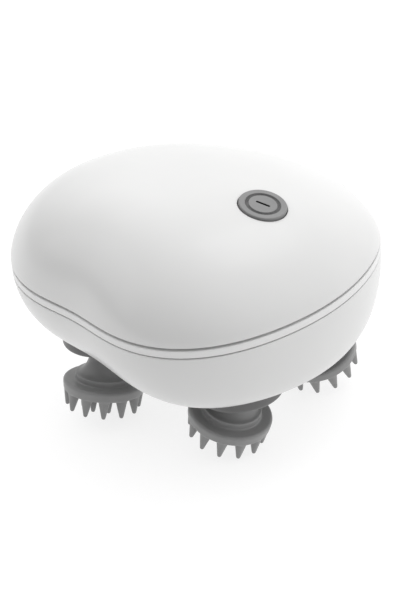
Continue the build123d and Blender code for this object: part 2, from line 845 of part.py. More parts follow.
with BuildPart() as motor_magnets:
    with BuildSketch(rim(can_low + magnet_low)):
        with Locations((motor_x, 0)):
            Circle(can_radius - can_wall)
            Circle(magnet_bore, mode=Mode.SUBTRACT)
            Rectangle(2 * can_radius, magnet_split, mode=Mode.SUBTRACT)
    extrude(amount=magnet_length)
write(motor_magnets.part, "motor_magnets")

with BuildPart() as motor_rotor:
    with BuildSketch(rim(idler_low)):
        with Locations((motor_x, 0)):
            Circle(motor_shaft_radius)
    extrude(amount=can_high + motor_shaft_proud - idler_low)
    with BuildSketch(rim(can_low + rotor_low)):
        with Locations((motor_x, 0)):
            Circle(rotor_radius)
            with PolarLocations(*rotor_slots[:2]):
                Circle(rotor_slots[2], mode=Mode.SUBTRACT)
    extrude(amount=rotor_length)
write(motor_rotor.part, "motor_rotor")

with BuildPart() as motor_pinion:
    with BuildSketch(rim(idler_low)):
        with Locations((motor_x, 0)):
            add(gear_sketch(pinion_teeth, idler_module, motor_pinion_phase, motor_shaft_radius))
    extrude(amount=idler_high - idler_low)
write(motor_pinion.part, "motor_pinion")

with BuildPart() as motor_screws:
    with BuildSketch(rim(cover_plate_low)):
        with Locations((motor_x, 0)):
            with GridLocations(1, motor_screw_spacing, 1, 2):
                Circle(small_screw_radius)
    extrude(amount=cover_plate_high - cover_plate_low + can_wall)
write(motor_screws.part, "motor_screws")

# =================================================================== battery
cell_z = cover_plate_high + cell_radius + cell_lift

with BuildPart() as battery_cell:
    with BuildSketch(Plane.XZ.offset(-cell_length / 2)):
        with Locations((cell_x, parting_z + cell_z)):
            Circle(cell_radius)
    extrude(amount=cell_length)
    fillet(battery_cell.edges().filter_by(GeomType.CIRCLE), cell_edge)
    with BuildSketch(Plane.XZ.offset(cell_length / 2)):
        with Locations((cell_x, parting_z + cell_z)):
            Circle(cell_cap[0])
    extrude(amount=cell_cap[1])
write(battery_cell.part, "battery_cell")

with BuildPart() as battery_cradle:
    for y in cradle_ribs:
        with BuildSketch(Plane.XZ.offset(-y - cradle_rib_thickness / 2)):
            with Locations((cell_x, parting_z + cover_plate_high + cradle_rib_height / 2)):
                Rectangle(cradle_width, cradle_rib_height)
            with Locations((cell_x, parting_z + cell_z)):
                Circle(cell_radius, mode=Mode.SUBTRACT)
        extrude(amount=cradle_rib_thickness)
    with BuildSketch(rim(cover_plate_high)):
        with Locations((cell_x, 0)):
            Rectangle(cradle_width, cradle_ribs[1] - cradle_ribs[0])
    extrude(amount=cradle_floor)
write(battery_cradle.part, "battery_cradle")

# ============================================================ circuit boards
with BuildPart() as control_board:
    with BuildSketch(rim(board_low)):
        with Locations((board_x, 0)):
            RectangleRounded(*board_size, board_corner)
            with GridLocations(*board_post_spacing, 2, 2):
                Circle(board_hole_radius, mode=Mode.SUBTRACT)
    extrude(amount=board_thickness)
write(control_board.part, "control_board")

with BuildPart() as board_screws:
    with BuildSketch(rim(board_low + board_thickness)):
        with Locations((board_x, 0)):
            with GridLocations(*board_post_spacing, 2, 2):
                Circle(small_head_radius)
    extrude(amount=small_head_height)
    with BuildSketch(rim(board_low - board_screw_reach)):
        with Locations((board_x, 0)):
            with GridLocations(*board_post_spacing, 2, 2):
                Circle(small_screw_radius)
    extrude(amount=board_thickness + board_screw_reach)
write(board_screws.part, "board_screws")

with BuildPart() as board_components:
    for (x, y), (width, depth, tall) in board_parts.items():
        with BuildSketch(rim(board_low + board_thickness)):
            with Locations((board_x + x, y)):
                Rectangle(width, depth)
        extrude(amount=tall)
write(board_components.part, "board_components")

with BuildPart() as charge_board:
    with BuildSketch(rim(port_surface[1] - socket_height / 2)):
        with Locations((charge_board_x, 0)):
            Rectangle(*charge_board_size)
    extrude(amount=-charge_board_thickness)
write(charge_board.part, "charge_board")

with BuildPart() as charge_socket:
    with BuildSketch(Plane.YZ.offset(socket_front_x)):
        with Locations((0, parting_z + port_surface[1])):
            RectangleRounded(socket_width, socket_height, socket_corner)
    extrude(amount=socket_length)
    with BuildSketch(Plane.YZ.offset(socket_front_x)):
        with Locations((0, parting_z + port_surface[1])):
            RectangleRounded(
                socket_width - 2 * socket_wall,
                socket_height - 2 * socket_wall,
                socket_corner - socket_wall,
            )
    extrude(amount=socket_length - socket_back_wall, mode=Mode.SUBTRACT)
    with BuildSketch(Plane.YZ.offset(socket_front_x + tongue_inset)):
        with Locations((0, parting_z + port_surface[1])):
            Rectangle(*tongue_size)
    extrude(amount=socket_length - tongue_inset - socket_back_wall / 2)
write(charge_socket.part, "charge_socket")

with BuildPart() as port_flap:
    with BuildSketch(port_plane.offset(-flap_thickness)):
        RectangleRounded(flap_width, flap_height, flap_corner)
    extrude(amount=flap_thickness + port_reach)
    add(bowl.part, mode=Mode.INTERSECT)
write(port_flap.part, "port_flap")

# ============================================================= massage heads
def rotate_point(radius, angle):
    """A point at a radius and an angle in degrees."""
    return (radius * cos(radians(angle)), radius * sin(radians(angle)))


for corner, (x, y) in corners.items():
    foot = collar_low[corner]
    floor_low = floor_height(x)
    floor_top = floor_height(x, wall)
    pivot = (x, y, parting_z - pivot_drop)
    lean_x, lean_y = rotate_point(sin(radians(head_tilt[corner])), lean[corner])
    lean_z = cos(radians(head_tilt[corner]))
    stub = Plane(origin=pivot, x_dir=(lean_z, 0, -lean_x), z_dir=(lean_x, lean_y, lean_z))

    with BuildPart() as head_collar:
        with BuildSketch(rim(foot)):
            with Locations((x, y)):
                Circle(collar_radius)
        extrude(amount=base_plate_high - foot)
        fillet(head_collar.edges().group_by(Axis.Z)[0], collar_edge)
        add(bowl.part, mode=Mode.SUBTRACT)
        with BuildSketch(rim(floor_low - spigot_root)):
            with Locations((x, y)):
                Circle(spigot_radius)
        extrude(amount=floor_top + spigot_rise - floor_low + spigot_root)
        with BuildSketch(rim(foot)):
            with Locations((x, y)):
                Circle(collar_bore)
        extrude(amount=cut_through, mode=Mode.SUBTRACT)
        with BuildSketch(rim(foot)):
            with Locations((x, y)):
                Circle(collar_mouth)
        extrude(amount=mouth_depth, mode=Mode.SUBTRACT)
    write(head_collar.part, f"head_collar_{corner}")

    with BuildPart() as shaft_seal:
        with BuildSketch(rim(floor_top + spigot_rise - seal_height)):
            with Locations((x, y)):
                Circle(collar_bore)
                Circle(shaft_radius + running_gap, mode=Mode.SUBTRACT)
        extrude(amount=seal_height)
    write(shaft_seal.part, f"shaft_seal_{corner}")

    with BuildPart() as output_bush:
        with BuildSketch(rim(bush_low)):
            with Locations((x, y)):
                Circle(bush_radius)
        extrude(amount=base_plate_high - bush_low)
        with BuildSketch(rim(base_plate_high)):
            with Locations((x, y)):
                Circle(bush_flange_radius)
        extrude(amount=bush_flange_height)
        with BuildSketch(rim(bush_low)):
            with Locations((x, y)):
                Circle(shaft_radius + running_gap)
        extrude(amount=cut_through, mode=Mode.SUBTRACT)
    write(output_bush.part, f"output_bush_{corner}")

    direction = degrees(atan2(y, x - sun_x))
    gear_phase = mesh_phase(output_teeth, sun_teeth, 0, direction)
    with BuildPart() as output_gear:
        with BuildSketch(rim(gear_low)):
            with Locations((x, y)):
                add(gear_sketch(output_teeth, output_module, gear_phase, shaft_radius))
        extrude(amount=gear_high - gear_low)
        with BuildSketch(rim(gear_high)):
            with Locations((x, y)):
                Circle(output_hub_radius)
                Circle(shaft_radius, mode=Mode.SUBTRACT)
        extrude(amount=output_hub_height)
    write(output_gear.part, f"output_gear_{corner}")

    with BuildPart() as output_shaft:
        with BuildSketch(rim(-pivot_drop)):
            with Locations((x, y)):
                Circle(shaft_radius)
        extrude(amount=pivot_drop + cover_plate_high - shaft_top_gap)
        with Locations(pivot):
            Sphere(shaft_radius)
        with BuildSketch(stub.offset(stub_low)):
            Circle(stub_radius)
        extrude(amount=-stub_low)
    write(output_shaft.part, f"output_shaft_{corner}")

    with BuildPart() as head_hub:
        with BuildSketch(stub.offset(hub_low)):
            Circle(hub_radius)
        extrude(amount=hub_high - hub_low)
        with BuildSketch(stub.offset(hub_low)):
            Circle(hub_flange_radius)
        extrude(amount=hub_flange_height)
        with BuildSketch(stub.offset(stub_low)):
            Circle(stub_radius)
        extrude(amount=hub_high - stub_low, mode=Mode.SUBTRACT)
    write(head_hub.part, f"head_hub_{corner}")

    section = Plane(origin=stub.origin, x_dir=stub.x_dir, z_dir=-stub.y_dir)
    with BuildPart() as massage_head:
        with BuildSketch(section):
            with BuildLine():
                top = Line((0, neck_high), (neck_radius, neck_high))
                neck = Line(top @ 1, (neck_radius, neck_low))
                flare_end = (flange_radius - flange_edge[0], flange_high)
                flare = TangentArc(neck @ 1, flare_end, tangent=(0, -1))
                step = Polyline(
                    flare @ 1,
                    (flange_radius, flange_high - flange_edge[1]),
                    (flange_radius, disc_high),
                    (disc_radius - disc_shoulder, disc_high),
                )
                shoulder = TangentArc(step @ 1, (disc_radius, disc_high - disc_shoulder), tangent=(1, 0))
                Polyline(
                    shoulder @ 1,
                    (disc_radius - disc_draft, disc_low + disc_chamfer),
                    (disc_radius - disc_draft - disc_chamfer, disc_low),
                    (0, disc_low),
                    (0, neck_high),
                )
            make_face()
        revolve(axis=Axis(stub.origin, stub.z_dir))
        for count, ring_foot, ring_tip, finger_foot in finger_rings:
            for step_number in range(count):
                turn = finger_turn[corner] + 360 * step_number / count
                foot_x, foot_y = rotate_point(ring_foot, turn)
                splay_x, splay_y = rotate_point(ring_tip - ring_foot, turn)
                start = stub.from_local_coords((foot_x, foot_y, disc_low + finger_root))
                end = stub.from_local_coords((foot_x + splay_x, foot_y + splay_y, disc_low - finger_length))
                with BuildSketch(Plane(origin=start, z_dir=end - start)):
                    Circle(finger_foot)
            extrude(
                amount=finger_length + finger_root,
                taper=degrees(atan2(finger_foot - finger_tip, finger_length + finger_root)),
            )
        with BuildSketch(stub.offset(hub_low)):
            Circle(hub_radius)
        extrude(amount=hub_high - hub_low, mode=Mode.SUBTRACT)
        with BuildSketch(stub.offset(hub_low)):
            Circle(hub_flange_radius)
        extrude(amount=hub_flange_height, mode=Mode.SUBTRACT)
        with BuildSketch(stub.offset(hub_high)):
            Circle(knee_room)
        extrude(amount=cut_through, mode=Mode.SUBTRACT)
    write(massage_head.part, f"massage_head_{corner}")
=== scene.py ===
"""Electric scalp massager: white shell, grey button and collars, four silicone heads.

Lengths are millimetres and angles degrees, except where a comment says otherwise. Heights are
counted from the casing's rim, and +X runs forwards to the power button.
"""
import json
from collections import namedtuple
from math import cos, hypot, pi, radians, sin, tan

import bmesh
import bpy
import numpy as np
from mathutils import Matrix, Vector
from mathutils.bvhtree import BVHTree


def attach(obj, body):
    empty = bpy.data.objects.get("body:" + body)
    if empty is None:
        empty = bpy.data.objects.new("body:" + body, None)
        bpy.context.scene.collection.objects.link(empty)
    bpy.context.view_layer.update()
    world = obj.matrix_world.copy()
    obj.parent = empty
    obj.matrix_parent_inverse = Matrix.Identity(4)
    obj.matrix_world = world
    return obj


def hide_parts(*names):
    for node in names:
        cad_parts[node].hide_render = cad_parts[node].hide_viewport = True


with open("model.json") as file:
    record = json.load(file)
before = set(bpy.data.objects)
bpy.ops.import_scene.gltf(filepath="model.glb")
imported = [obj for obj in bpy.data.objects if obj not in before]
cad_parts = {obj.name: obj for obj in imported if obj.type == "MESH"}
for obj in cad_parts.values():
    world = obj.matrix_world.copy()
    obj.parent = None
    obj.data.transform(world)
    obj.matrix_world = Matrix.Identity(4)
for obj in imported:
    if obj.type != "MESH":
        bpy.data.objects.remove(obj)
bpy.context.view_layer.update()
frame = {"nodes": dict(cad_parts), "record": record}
scene = bpy.context.scene
MM = 0.001                              # metres in a millimetre

# ---------------------------------------------------------------- body shape
RIM = 46.5                              # the casing's rim above the lowest fingertips
OUTLINE_BASE = 53.6                     # mean radius of the plan outline
OUTLINE_WAVES = {1: 3.4, 2: 5.3, 3: -3.4, 4: -1.6, 6: 0.6}      # waves round it: size of each
OUTLINE_SAMPLES = 1441
ANGLES = np.linspace(0, 2 * pi, 288, endpoint=False)            # points round the body, radians
WALL = 2.4
EDGE = 0.3                              # small rounding of the shells' edges
GUARD = 0.1                             # a ring this far beside an edge keeps its shading flat

COVER_LOW = 3.2                         # lower edge of the top cover
DOME_HEIGHT = 26.4                      # crown above that edge
DOME_PLAN_POWER = 3.38
DOME_RISE_POWER = 1.458
WAVE_FADE = 1.32                        # the outline's waists fade towards the crown
CROWN_SHIFT = -5.45
DOME_END_INSET = 0.03                   # the last ring of the dome, in from the outline
DOME_PACKING = 1.9                      # rings stand closer towards the outline
DOME_STEPS = {"outer": 84, "inner": 40}

BAND_TOP = 2.4                          # the groove under the cover begins here
BAND_LEDGE = 1.7                        # depth of that groove
BAND_COLLAR = (2.8, 4.2)                # inner locating collar, in from the outline
BAND_COLLAR_HEIGHTS = (-1.5, 4.4)
SLIT_DEPTH, SLIT_HALF = 0.85, 0.16      # seam slit between casing and band

CASING_DEPTH = 18.3
CASING_PITCH = 0.07                     # the casing's floor falls this much per mm forwards
CASING_POWER = 1.83
CASING_INSET = (10.2, -1.8, -2.0)       # floor's edge in from the outline: mean and two waves
CASING_TURNS = np.concatenate([np.linspace(3, 30, 14), np.linspace(33, 90, 24)])

# ------------------------------------------------- pillars, port and collars
SUN_X = 6.3                             # axis of the sun gear
PILLARS = [(SUN_X, -31), (SUN_X, 31), (-41, 0), (43.5, 0)]
PILLAR_RADIUS = 3.5
PILOT_RADIUS, PILOT_DEPTH = 1.1, 10.0   # screw's hole in the cover
SCREW_RADIUS = 1.4
SCREW_HEAD_RADIUS = 2.6
SCREW_SEAT = -8.0
PORT_X, SOCKET_X, PORT_HEIGHT = -56.75, -56.0, -6.2
PORT_TILT = 19.4
PORT_POCKET = (13.4, 6.8, 1.2)          # width, height and corners of the flap's pocket
PORT_CUT = (-1.6, 4)                    # the pocket's cutter, from its floor outwards
SOCKET_MOUTH = (9.1, 3.4, 1.6)          # width, height and corners of the socket's hole
SOCKET_CUT = (-1, 8)                    # its cutter, from outside forwards
CUT_FOOT = -30                          # cutters from below start here
SPIGOT_CUT_TOP, SCREW_CUT_TOP = -12, -10
SPIGOT_RADIUS = 8.6                     # top of a collar, in the casing's hole
COLLAR_RADIUS = 13.2
COLLAR_BORE = 7.0
COLLAR_MOUTH = (8.0, 3.4)               # wider end of the bore: radius and depth
COLLAR_BITE = 0.3                       # a collar's top goes this far into the casing

# --------------------------------------------------------------------- heads
# bearing from the sun gear's axis; the stub's tilt and the way it leans; turn of the fingers
# about the stub; foot of the collar
Head = namedtuple("Head", "bearing tilt lean finger_turn collar_foot")
HEADS = {
    "front_right": Head(-34.9, 17.6, 8.0, 27.0, -26.8),
    "front_left": Head(43.7, 18.4, 274.0, 26.0, -26.8),
    "rear_right": Head(218.4, 12.0, 78.0, 11.0, -21.3),
    "rear_left": Head(150.4, 12.0, 180.0, 10.0, -21.3),
}
HEAD_REACH = 31.0                       # from the sun gear's axis
PIVOT_DROP = 22.6                       # a tilted stub leaves its shaft this far below the rim
# heights from here on are along the stub, from that point
BORE_RADIUS, BORE_END = 3.7, -3.0
NECK_RADIUS, NECK_TOP = 5.0, 1.0
FLARE_TOP = -4.2
FLARE_STEPS = 14
STEP_RADIUS, STEP_TOP = 9.0, -9.9
DISC_RADIUS, DISC_TOP, DISC_FOOT = 12.8, -12.1, -15.4
FINGER_END = -21.4
# fingers in a ring, the ring's radius at their roots and at their tips, radius of a root
FINGERS = [(12, 10.5, 11.1, 1.95), (8, 6.1, 6.3, 1.5), (1, 0.0, 0.0, 1.5)]
TIP_RADIUS = 0.7
VOXEL = 0.24                            # grid in which neck, disc and fingers are merged

# -------------------------------------------------------------------- button
BUTTON_X = 32.4
SLOPE_STEP = 0.01                       # the dome's slope is taken this far to each side
BUTTON_RADIUS = 7.15
BUTTON_GAP = 0.2
HOLE_LIP = 0.25                         # rounding of the hole's edge
BUTTON_PROUD = 0.4                      # this and the next heights are from the dome's surface
GROOVE_FLOOR = 0.0                      # floor of the ring groove and of the mark
FLANGE_TOP, FLANGE_FOOT = -3.3, -4.1
FLANGE_REACH = 1.0
RING = (4.18, 5.32)                     # radii of the ring groove
RING_SLOPE = 0.12                       # lean of its walls
MARK = (4.5, 0.85)                      # length and width
MARK_TURN = 12.9
INLAY_ROOT = 0.1                        # depth of both inlays below the groove's floor

# ----------------------------------------- materials, floor, light and camera
NOISE_SPAN = (0.3, 0.7)                 # most of a noise texture's values lie in here
BUMP_HEIGHT = 0.02 * MM
FLOOR_SIZE = 3000
FLOOR_HEIGHT = -0.05                    # above the ground
AZIMUTH, ELEVATION, ROLL = radians(40.6), radians(27.7), radians(-6.1)
TARGET = Vector((19.66, -16.90, RIM)) * MM
DISTANCE = 0.5446                       # metres
LENS, SENSOR = 112.07, 36.0
SKY_LEAN = {"over": 1.2, "right": 0.55, "back": -0.65}          # where the room is brightest
SKY_DARK = -0.5                         # and cosine from there at which it is black
SKY_STRENGTH = 1.66


# ============================================================ shape functions
def outline(angle, inset=0.0):
    """Point of the plan outline, drawn in along its normal."""
    radius = OUTLINE_BASE + sum(size * np.cos(n * angle) for n, size in OUTLINE_WAVES.items())
    slope = -sum(size * n * np.sin(n * angle) for n, size in OUTLINE_WAVES.items())
    along = np.hypot(radius, slope)
    x = radius * np.cos(angle) - inset * (radius * np.cos(angle) + slope * np.sin(angle)) / along
    y = radius * np.sin(angle) - inset * (radius * np.sin(angle) - slope * np.cos(angle)) / along
    return x, y


def level(x, y, z):
    """Ring of points at one height, or at one height each."""
    return np.stack([x, y, RIM + z + 0 * x], axis=1)


def outline_ring(inset, z):
    return level(*outline(ANGLES, inset), z)


def edge_rings(z, side):
    """Rounding from a flat edge at height z to the wall, which is above it (1) or below (-1)."""
    return [
        outline_ring(EDGE * (1 - cos(turn)), z + side * EDGE * (1 - sin(turn)))
        for turn in np.linspace(pi / 2, 0, 6)
    ]


def circle(radius, bearings, height):
    """Points about the Z axis, one at each bearing (radians)."""
    return np.stack(
        [radius * np.cos(bearings), radius * np.sin(bearings), height + 0 * bearings], axis=1
    )


def dome_height(x, y, skin=0.0):
    """Height of the dome's surface, skin below the outer face.

    Each point's share of the way from the crown to the outline is found by halving.
    """
    dense = np.linspace(-pi, pi, OUTLINE_SAMPLES)
    outline_x, outline_y = outline(dense, skin)
    bearing = np.unwrap(np.arctan2(outline_y, outline_x))
    reach = np.hypot(outline_x, outline_y)
    plain = OUTLINE_BASE - skin + OUTLINE_WAVES[1] * np.cos(bearing)
    low, high = np.zeros_like(x), np.ones_like(x)
    for _ in range(40):
        share = (low + high) / 2
        dx = x - CROWN_SHIFT * (1 - share)
        toward = np.arctan2(y, dx)
        limit = np.interp(toward, bearing, plain)
        limit += share ** WAVE_FADE * (np.interp(toward, bearing, reach) - limit)
        outside = np.hypot(dx, y) > share * limit
        low = np.where(outside, share, low)
        high = np.where(outside, high, share)
    rise = np.maximum(0, 1 - share ** DOME_PLAN_POWER) ** (1 / DOME_RISE_POWER)
    return COVER_LOW + (DOME_HEIGHT - skin) * rise


def floor_height(x, skin=0.0):
    """Height of the casing's floor, skin in from the outer face."""
    return -(CASING_DEPTH - skin + CASING_PITCH * x)


def casing_ring(turn, skin=0.0):
    """One ring of the bowl, at a turn in degrees from the rim down to the floor."""
    mean, first, second = CASING_INSET
    reach = mean + first * np.cos(ANGLES) + second * np.cos(2 * ANGLES)
    x, y = outline(ANGLES, skin + reach * (1 - cos(radians(turn))))
    return level(x, y, floor_height(x, skin) * sin(radians(turn)) ** (2 / CASING_POWER))


def casing_face(skin):
    """Rings of the bowl from under its rim to near the middle of its floor."""
    edge = casing_ring(90, skin)
    floor_rings = []
    for share in np.linspace(0.9, 0.1, 9):
        x, y = edge[:, 0] * share, edge[:, 1] * share
        floor_rings.append(level(x, y, floor_height(x, skin)))
    return [casing_ring(turn, skin) for turn in CASING_TURNS] + floor_rings


def rounded(corners, segments=6, closed=False, guard=0.12):
    """Polyline through (u, v, radius) corners, each rounded, with a guard point by each arc."""
    points = []
    count = len(corners)
    for i, (u, v, radius) in enumerate(corners):
        here = np.array((u, v), float)
        if not radius or (not closed and i in (0, count - 1)):
            points.append(here)
            continue
        before = np.array(corners[i - 1][:2], float) - here
        after = np.array(corners[(i + 1) % count][:2], float) - here
        before_length, after_length = np.linalg.norm(before), np.linalg.norm(after)
        before, after = before / before_length, after / after_length
        half = np.arccos(np.clip(before @ after, -1, 1)) / 2
        cut_back = radius / tan(half)
        middle = here + (before + after) / np.linalg.norm(before + after) * radius / sin(half)
        start, end = here + before * cut_back - middle, here + after * cut_back - middle
        sweep = pi - 2 * half
        if before_length > cut_back + 2 * guard:
            points.append(here + before * (cut_back + guard))
        for k in range(segments + 1):
            t = k / segments
            blend = (np.sin((1 - t) * sweep) * start + np.sin(t * sweep) * end) / np.sin(sweep)
            points.append(middle + blend)
        if after_length > cut_back + 2 * guard:
            points.append(here + after * (cut_back + guard))
    return points


def placement(origin, x_axis, y_axis, z_axis):
    """Place at origin with these axes."""
    return Matrix.Translation(origin) @ Matrix((x_axis, y_axis, z_axis)).transposed().to_4x4()


def at(x, y):
    """Upright place level with the rim."""
    return Matrix.Translation((x, y, RIM))


# =============================================================== mesh helpers
class Mesh:
    """Points and faces of one piece, built up ring by ring."""

    def __init__(self):
        self.points = []
        self.faces = []

    def rings(self, rings, closed=False, cap_start=False, cap_end=False):
        """Skin over rings that all have the same number of points."""
        count = len(rings[0])
        first = len(self.points)
        for ring in rings:
            self.points.extend(tuple(p) for p in ring)
        pairs = [(i, i + 1) for i in range(len(rings) - 1)]
        if closed:
            pairs.append((len(rings) - 1, 0))
        for a, b in pairs:
            for j in range(count):
                k = (j + 1) % count
                self.faces.append((
                    first + a * count + j, first + a * count + k,
                    first + b * count + k, first + b * count + j,
                ))
        if cap_start:
            self.faces.append(tuple(first + j for j in range(count)))
        if cap_end:
            self.faces.append(tuple(first + (len(rings) - 1) * count + j for j in range(count)))
        return self

    def lathe(self, profile, place, steps):
        """Turn (radius, height) points about the place's Z axis; a zero radius closes an end.

        Without a zero radius at its start, the profile is a loop.
        """
        turn = np.linspace(0, 2 * pi, steps, endpoint=False)
        flat, origin = np.array(place.to_3x3()), np.array(place.translation)
        return self.rings(
            [
                circle(radius, turn, height) @ flat.T + origin
                for radius, height in profile if radius > 0
            ],
            closed=profile[0][0] > 0,
            cap_start=profile[0][0] <= 0,
            cap_end=profile[-1][0] <= 0,
        )

    def data(self, name):
        """Blender mesh of it, in metres, with its faces turned outwards."""
        mesh = bpy.data.meshes.new(name)
        mesh.from_pydata([tuple(MM * c for c in p) for p in self.points], [], self.faces)
        return edited(mesh, lambda edit: bmesh.ops.recalc_face_normals(edit, faces=edit.faces))


def edited(mesh, *steps):
    """The same mesh, after each step has worked on it as a bmesh."""
    edit = bmesh.new()
    edit.from_mesh(mesh)
    for step in steps:
        step(edit)
    edit.to_mesh(mesh)
    edit.free()
    return mesh


def smooth(mesh, sharp=40):
    """Smooth shading, split where faces meet at more than sharp degrees."""
    mesh.shade_smooth()
    mesh.set_sharp_from_angle(angle=radians(sharp))


def linked(name, data):
    """New object in the scene."""
    obj = bpy.data.objects.new(name, data)
    scene.collection.objects.link(obj)
    return obj


def piece(mesh, body, slot, *nodes):
    """Put a finished mesh in the scene on its body, in place of its CAD nodes."""
    obj = linked(mesh.name, mesh)
    mesh.materials.append(materials[slot])
    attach(obj, body)
    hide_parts(*nodes)


def apply_modifiers(mesh, *settings):
    """A copy of mesh with modifiers worked in; each setting is (type, {property: value})."""
    obj = linked("work", mesh)
    for kind, values in settings:
        modifier = obj.modifiers.new(kind.lower(), kind)
        for key, value in values.items():
            setattr(modifier, key, value)
    graph = bpy.context.evaluated_depsgraph_get()
    result = bpy.data.meshes.new_from_object(obj.evaluated_get(graph))
    result.name = mesh.name
    bpy.data.objects.remove(obj)
    return result


def cut(mesh, *cutters):
    """mesh with each cutter's volume taken away."""
    tools = [linked("cutter", cutter.data("cutter")) for cutter in cutters]
    settings = {"operation": "DIFFERENCE", "solver": "EXACT"}
    result = apply_modifiers(mesh, *[("BOOLEAN", {**settings, "object": tool}) for tool in tools])
    for tool in tools:
        bpy.data.objects.remove(tool)
    return result


def cylinder(place, radius, low, high, steps=72):
    return Mesh().lathe([(0, low), (radius, low), (radius, high), (0, high)], place, steps)


def rounded_box(place, width, height, radius, low, high, steps=8):
    """Rectangle with rounded corners in the place's XY plane, run from low to high along Z."""
    corners = []
    for quadrant in range(4):
        cx = (width / 2 - radius) * (1 if quadrant in (0, 3) else -1)
        cy = (height / 2 - radius) * (1 if quadrant < 2 else -1)
        for k in range(steps + 1):
            angle = (quadrant + k / steps) * pi / 2
            corners.append((cx + radius * cos(angle), cy + radius * sin(angle)))
    flat, origin = np.array(place.to_3x3()), np.array(place.translation)
    rings = [[tuple(flat @ np.array((u, v, h)) + origin) for u, v in corners] for h in (low, high)]
    return Mesh().rings(rings, cap_start=True, cap_end=True)


# ================================================================== materials
materials = {}


def grey(value):
    return (value, value, value)


def map_range(tree, source, span, low, high):
    """Output that goes from low to high as source goes over span."""
    node = tree.nodes.new("ShaderNodeMapRange")
    for key, value in zip(("From Min", "From Max", "To Min", "To Max"), (*span, low, high)):
        node.inputs[key].default_value = value
    tree.links.new(source, node.inputs["Value"])
    return node.outputs["Result"]


def finish(slot, colour, other, roughness, patch=180.0, grain=2500.0, bump=0.05, **shader):
    """Moulded or machined surface: soft patches of colour and gloss over a fine grain.

    patch and grain are the scales of the two noises, and shader holds further shader inputs.
    """
    material = bpy.data.materials.new(slot)
    material.use_nodes = True
    tree = material.node_tree
    nodes, links = tree.nodes, tree.links
    principled = nodes["Principled BSDF"]
    for key, value in shader.items():
        principled.inputs[key.replace("_", " ")].default_value = value
    place = nodes.new("ShaderNodeTexCoord")

    def noise(scale, detail):
        node = nodes.new("ShaderNodeTexNoise")
        node.inputs["Scale"].default_value = scale
        node.inputs["Detail"].default_value = detail
        links.new(place.outputs["Object"], node.inputs["Vector"])
        return node.outputs["Fac"]

    patches = noise(patch, 3.0)
    mix = nodes.new("ShaderNodeMix")
    mix.data_type = "RGBA"
    mix.inputs["A"].default_value = (*colour, 1)
    mix.inputs["B"].default_value = (*other, 1)
    links.new(map_range(tree, patches, NOISE_SPAN, 0, 1), mix.inputs["Factor"])
    links.new(mix.outputs["Result"], principled.inputs["Base Color"])
    gloss = map_range(tree, patches, NOISE_SPAN, *roughness)
    links.new(gloss, principled.inputs["Roughness"])
    relief = nodes.new("ShaderNodeBump")
    relief.inputs["Strength"].default_value = bump
    relief.inputs["Distance"].default_value = BUMP_HEIGHT
    links.new(noise(grain, 4.0), relief.inputs["Height"])
    links.new(relief.outputs["Normal"], principled.inputs["Normal"])
    materials[slot] = material


finish("shell_white", (0.665, 0.665, 0.662), (0.65, 0.65, 0.647), (0.30, 0.36), patch=40,
       grain=900, bump=0.06, Coat_Weight=0.3, Coat_Roughness=0.16)
finish("band_white", (0.72, 0.72, 0.718), (0.705, 0.705, 0.702), (0.30, 0.36), patch=60,
       grain=900, bump=0.06, Coat_Weight=0.25, Coat_Roughness=0.2)
finish("head_silicone", grey(0.245), grey(0.22), (0.38, 0.48), patch=120, grain=1800, bump=0.25,
       Sheen_Weight=0.12, Sheen_Roughness=0.4)
finish("button_silicone", grey(0.215), grey(0.2), (0.48, 0.58), patch=150, grain=2200, bump=0.2,
       Sheen_Weight=0.08, Sheen_Roughness=0.4)
finish("mark_black", grey(0.006), grey(0.004), (0.8, 0.9), patch=400, Specular_IOR_Level=0.1)
finish("ring_grey", grey(0.065), grey(0.055), (0.45, 0.6), patch=400)
finish("collar_grey", grey(0.125), grey(0.11), (0.38, 0.46), patch=150, grain=1500, bump=0.12)
finish("seal_black", grey(0.016), grey(0.02), (0.6, 0.7), patch=300, bump=0.04)
finish("flap_white", (0.63, 0.63, 0.627), (0.61, 0.61, 0.605), (0.5, 0.6), patch=200, bump=0.2)
finish("gear_ivory", (0.72, 0.66, 0.50), (0.66, 0.60, 0.45), (0.3, 0.42), patch=250, bump=0.1)
finish("frame_black", grey(0.018), grey(0.026), (0.4, 0.55), patch=150, grain=1200, bump=0.3)
finish("steel", grey(0.55), grey(0.62), (0.2, 0.34), patch=500, grain=4000, bump=0.1, Metallic=1.0)
finish("bronze", (0.62, 0.42, 0.2), (0.55, 0.36, 0.16), (0.28, 0.45), patch=500, grain=3000,
       bump=0.2, Metallic=1.0)
finish("magnet_grey", grey(0.06), grey(0.08), (0.5, 0.65), patch=400, grain=2000, bump=0.4)
finish("copper_laminate", (0.45, 0.24, 0.14), (0.35, 0.3, 0.27), (0.3, 0.45), patch=700,
       grain=3000, bump=0.3, Metallic=1.0)
finish("cell_wrap", (0.03, 0.11, 0.22), (0.035, 0.13, 0.25), (0.25, 0.35), patch=200)
finish("board_green", (0.01, 0.075, 0.03), (0.014, 0.095, 0.038), (0.28, 0.4), patch=800, bump=0.2)
finish("component_black", grey(0.015), grey(0.022), (0.35, 0.5), patch=600, bump=0.2)
finish("switch_grey", grey(0.12), grey(0.14), (0.35, 0.5), patch=500, bump=0.15)
finish("floor_pale", grey(0.24), grey(0.23), (0.7, 0.8), patch=6, grain=60, bump=0.02,
       Emission_Color=(1, 1, 1, 1), Emission_Strength=0.79)

slot_of = {part["node"]: part["material_slot"] for part in frame["record"]["subparts"]}
for name, node in frame["nodes"].items():
    node.data.materials.clear()
    node.data.materials.append(materials[slot_of[name]])
    smooth(node.data, 30)

left, overhead = Vector((0, 1, 0)), Vector((0, 0, 1))

